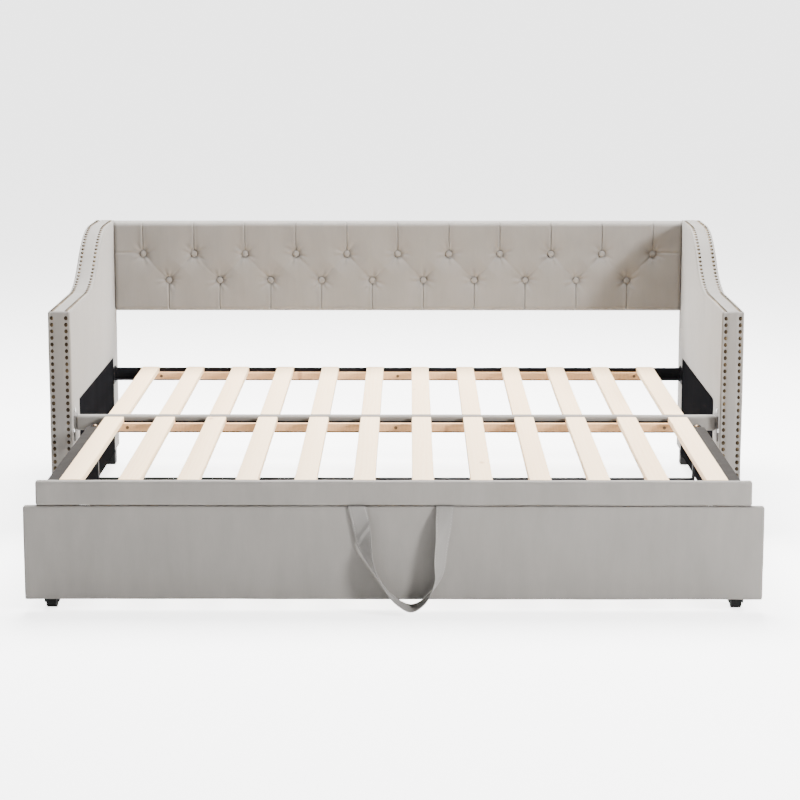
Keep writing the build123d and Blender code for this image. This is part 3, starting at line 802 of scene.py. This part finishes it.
def make_board(name, low, high, radius, seed, bow=0.6 * MM):
    """A timber strip with eased edges, a slight bow along its length and a faint sideways drift."""
    board = rounded_brick(name, low, high, radius, 2)
    long_axis = max(range(3), key=lambda axis: high[axis] - low[axis])
    steps = [None, None, None]
    steps[long_axis] = BOARD_SLICE
    slice_along(board, steps)
    for vertex in board.data.vertices:
        share = (vertex.co[long_axis] - low[long_axis]) / (high[long_axis] - low[long_axis])
        vertex.co.z -= bow * (0.6 + 0.4 * math.sin(seed * 3)) * math.sin(math.pi * share)
        vertex.co[1 - long_axis] += 0.5 * MM * wave((share * 2, seed, 0), 1.0, seed)
    return outward(board)


def make_slats(node, body):
    low, high = (Vector(corner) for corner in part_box(node))
    pitch = (high.x - low.x - SLAT_WIDTH) / (SLATS_PER_DECK - 1)
    slats = []
    for index in range(SLATS_PER_DECK):
        left = low.x + index * pitch
        start, end = (left, low.y, low.z), (left + SLAT_WIDTH, high.y, high.z)
        slats.append(make_board(f"{node}_{index + 1}", start, end, SLAT_EDGE, index + low.y))
    deck = join(slats, node + "_wood")
    smooth(deck, 45)
    place(deck, body, pine, "slat_timber", node)
    print(deck.name, SLATS_PER_DECK, "slats")


make_slats("main_slats", "daybed")
make_slats("trundle_slats", "trundle_deck")

# %% Make the cleats
cleat_bodies = {
    "front_cleat": "daybed",
    "rear_cleat": "daybed",
    "trundle_front_cleat": "trundle_deck",
    "trundle_rear_cleat": "trundle_deck",
}
for index, (node, body) in enumerate(cleat_bodies.items()):
    low, high = (Vector(corner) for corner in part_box(node))
    cleat = make_board(node + "_wood", low, high, CLEAT_EDGE, index + 0.4, bow=0.0)
    smooth(cleat, 45)
    place(cleat, body, cleat_wood, "frame_timber", node)
print("cleats", len(cleat_bodies))

# %% [markdown]
# ## Pull strap
# The strap is two layers of velvet stitched along both edges. It hangs from the top of the panel
# as a loop. Both ends lie flat against the panel, and each leg turns until the band lies on its
# side at the bottom. A grid becomes the strap: its long side follows the loop, its short side turns.

# %% The strap's line and turn
STRAP_WIDTH = 0.047
STRAP_BEHIND = -1.0105
STRAP_TILT = 0.2            # how far the band leans forward where it lies on its side
STRAP_ENDS = 0.08           # the share of its length at each end over which the band is cut level
strap_stations = [
    # across, height and turn in degrees: 0 and 180 lie flat to the panel, 90 lies on its side
    (-0.096, 0.289, 0),
    (-0.0865, 0.250, 6),
    (-0.077, 0.195, 35),
    (-0.0635, 0.150, 58),
    (-0.038, 0.098, 74),
    (-0.004, 0.050, 84),
    (0.044, 0.0205, 90),
    (0.087, 0.045, 97),
    (0.1175, 0.098, 117),
    (0.1235, 0.152, 134),
    (0.1305, 0.220, 146),
    (0.1365, 0.289, 180),
]


def on_spline(values, t):
    """A smooth value at t from 0 to 1 along evenly numbered values (Catmull-Rom)."""
    place_on = min(t, 0.999999) * (len(values) - 1)
    index = int(place_on)
    u = place_on - index
    a, b, c, d = (values[max(0, min(len(values) - 1, index + k))] for k in (-1, 0, 1, 2))
    bend = 2 * a - 5 * b + 4 * c - d
    twist = 3 * b - a - 3 * c + d
    return 0.5 * (2 * b + (c - a) * u + bend * u**2 + twist * u**3)


def strap_at(t):
    """The middle of the strap at t, and the way from its rear edge to its front edge."""
    across, height, turn = (on_spline([s[k] for s in strap_stations], t) for k in range(3))
    turn = math.radians(turn)
    middle = Vector((across, STRAP_BEHIND - STRAP_WIDTH / 2 * math.sin(turn), height))
    return middle, Vector((math.cos(turn), -math.sin(turn), -STRAP_TILT * math.sin(turn))).normalized()


def strap_frame(t):
    middle, side = strap_at(t)
    along = (strap_at(min(1, t + 0.004))[0] - strap_at(max(0, t - 0.004))[0]).normalized()
    square = min(1.0, min(t, 1 - t) / STRAP_ENDS)
    side = (side - along * side.dot(along) * square).normalized()
    return middle, side, side.cross(along).normalized()


strap_middles = [strap_at(i / 400)[0] for i in range(401)]
strap_length = sum((b - a).length for a, b in zip(strap_middles, strap_middles[1:]))
print("strap length", round(strap_length, 3))

# %% Make the strap
FOLD_AT = 0.145
FOLD_DEPTH = 2.4 * MM
STRAP_HALF_THICKNESS = 1.4 * MM


def strap_relief(t, across):
    """How far the strap's middle layer bends out of line, and half of its thickness there."""
    edge = (1 - abs(across)) * STRAP_WIDTH / 2
    stitched_in = 0.5 * MM * bell(edge - 0.004, 1.3 * MM)
    body = 0.8 * MM + 0.6 * MM * min(1.0, edge / 0.007) - stitched_in
    fold = FOLD_DEPTH * bell(t - FOLD_AT + 0.035 * across, 0.012)
    low_fold = 1.2 * MM * bell(t - FOLD_AT - 0.05 - 0.03 * across, 0.016)
    crease = 0.9 * MM * wave((t * strap_length, across * 0.03, 0), 0.03, 3.0)
    return fold - low_fold + crease, body


def make_strap():
    bpy.ops.mesh.primitive_grid_add(x_subdivisions=260, y_subdivisions=22, size=2)
    strap = bpy.context.object
    strap.name = "pull_strap_band"
    thickness = strap.vertex_groups.new(name="thickness")
    for vertex in strap.data.vertices:
        t, across = (vertex.co.x + 1) / 2, vertex.co.y
        middle, side, front = strap_frame(t)
        bend, body = strap_relief(t, across)
        vertex.co = middle + side * across * STRAP_WIDTH / 2 - front * bend
        thickness.add([vertex.index], body / STRAP_HALF_THICKNESS, "REPLACE")
    thick = {"thickness": 2 * STRAP_HALF_THICKNESS, "offset": 0, "vertex_group": thickness.name}
    apply_modifier(strap, "SOLIDIFY", **thick)
    smooth(outward(strap), 60)
    place(strap, "trundle_base", strap_velvet, "strap_velvet", "pull_strap")
    return strap


strap = make_strap()

# %% Sew its edges
STITCH_STEP = 6.5 * MM
STITCH_SIZE = (0.35 * MM, 1.9 * MM, 0.35 * MM)
STITCH_FROM_EDGE = 0.004


def make_stitches():
    """Short thread dashes on both faces along both edges."""
    bpy.ops.mesh.primitive_uv_sphere_add(segments=6, ring_count=4, radius=1)
    dash = bpy.context.object
    dash.scale = STITCH_SIZE
    settle(dash)
    count = int(strap_length / STITCH_STEP)
    dashes = []
    for index in range(1, count):
        t = index / count
        middle, side, front = strap_frame(t)
        along = front.cross(side)
        for edge in (-1, 1):
            across = edge * (1 - STITCH_FROM_EDGE / (STRAP_WIDTH / 2))
            bend, body = strap_relief(t, across)
            spot = middle + side * across * STRAP_WIDTH / 2 - front * bend
            for face in (-1, 1):
                turn = Matrix((side, along, front)).transposed().to_4x4()
                dashes.append(copy_to(dash, Matrix.Translation(spot + front * face * body) @ turn))
    bpy.data.objects.remove(dash)
    thread = join(dashes, "pull_strap_thread")
    smooth(thread, 60)
    place(thread, "trundle_base", strap_thread, "strap_velvet")
    print(thread.name, len(dashes), "dashes")
    return thread


thread = make_stitches()

# %% [markdown]
# ## Finishes for the carried-over metal parts
# Rails, tubes, bolts and nails keep their exact shape, because they fit and move. They only need
# the right finish, which goes by the first words of their names.

# %% Finish the metal and plastic parts
finish_for = {
    "arm_frame": pine,
    "back_board": pine,
    "front_rail_board": pine,
    "panel_board": pine,
    "upper_rail_board": pine,
    "arm_nails": bronze,
    "arm_feet": black_mould,
    "rear_rail": black_coat,
    "rear_rail_brackets": black_coat,
    "front_rail_brackets": greige_plate,
    "trundle_rear_angle": black_coat,
    "corner_brackets": black_coat,
    "base_front_tube": black_coat,
    "base_rear_tube": black_coat,
    "runner": black_coat,
    "swing_frame": black_coat,
    "strap_clamps": black_coat,
    "side_rail": grey_coat,
    "rear_cleat_screws": dark_steel,
    "front_cleat_screws": dark_steel,
    "trundle_cleat_screws": dark_steel,
    "bracket_screws": steel,
    "corner_bolts": dark_steel,
    "base_pivot_bolts": steel,
    "deck_pivot_bolts": steel,
    "axle": steel,
    "caster_fork": black_coat,
    "wheel": black_mould,
    "strap_tails": strap_velvet,
}
for name, node in frame["nodes"].items():
    if node.hide_render:
        continue
    matches = [start for start in finish_for if name.startswith(start)]
    dress(node, finish_for[max(matches, key=len)])
    print(name, node.data.materials[0].name)

# %% [markdown]
# ## Floor, light and camera
# The floor glows for the camera only, so it looks pale without lighting the bed from below. A key
# from the right throws the shadows, a weak fill softens them from the left, and a wide light above
# brightens the decks. The camera stands seven metres off with a long lens, so lines stay straight.

# %% Floor and backdrop
FLOOR_SIZE = 20000
FLOOR_GLOW = 3.2
bpy.ops.mesh.primitive_plane_add(size=FLOOR_SIZE, location=(0, 0, 0))
floor = bpy.context.object
floor.name = "studio_floor"
paper = bpy.data.materials.new("White paper")
paper.use_nodes = True
paper_surface = paper.node_tree.nodes["Principled BSDF"].inputs
paper_surface["Base Color"].default_value = (0.9, 0.9, 0.9, 1)
paper_surface["Roughness"].default_value = 0.9
paper_surface["Emission Color"].default_value = (1, 1, 1, 1)
lift = Nodes(paper.node_tree)
seen = lift.add("ShaderNodeLightPath").outputs["Is Camera Ray"]
lift.feed(paper_surface["Emission Strength"], lift.math("MULTIPLY", seen, FLOOR_GLOW))
dress(floor, paper)

world = bpy.data.worlds.new("Studio") if bpy.context.scene.world is None else bpy.context.scene.world
bpy.context.scene.world = world
world.use_nodes = True
world.node_tree.nodes["Background"].inputs["Color"].default_value = (1, 1, 1, 1)
world.node_tree.nodes["Background"].inputs["Strength"].default_value = 0.15


# %% Lights
def add_light(name, place_at, aim, size, power):
    bpy.ops.object.light_add(type="AREA", location=place_at)
    light = bpy.context.object
    light.name = name
    light.data.size = size
    light.data.energy = power
    light.rotation_euler = (Vector(aim) - Vector(place_at)).to_track_quat("-Z", "Y").to_euler()


add_light("key", (4.4, -3.9, 2.6), aim=(0, 0, 0.4), size=0.9, power=680)
add_light("fill", (-4.5, -2.6, 2.2), aim=(0, 0.2, 0.4), size=2.0, power=35)
add_light("top", (0.0, 1.3, 4.2), aim=(0, 0.4, 0), size=3.2, power=1150)

# %% Camera
CAMERA_AT = (0.0447, -7.010, 1.610)
LOOKS_DOWN = 0.1709
TURNS_LEFT = 0.0046
bpy.ops.object.camera_add(location=CAMERA_AT)
camera = bpy.context.object
camera.rotation_euler = (math.pi / 2 - LOOKS_DOWN, 0, TURNS_LEFT)
camera.data.lens = 104.95
camera.data.sensor_width = 36
camera.data.clip_end = 8000
bpy.context.scene.camera = camera
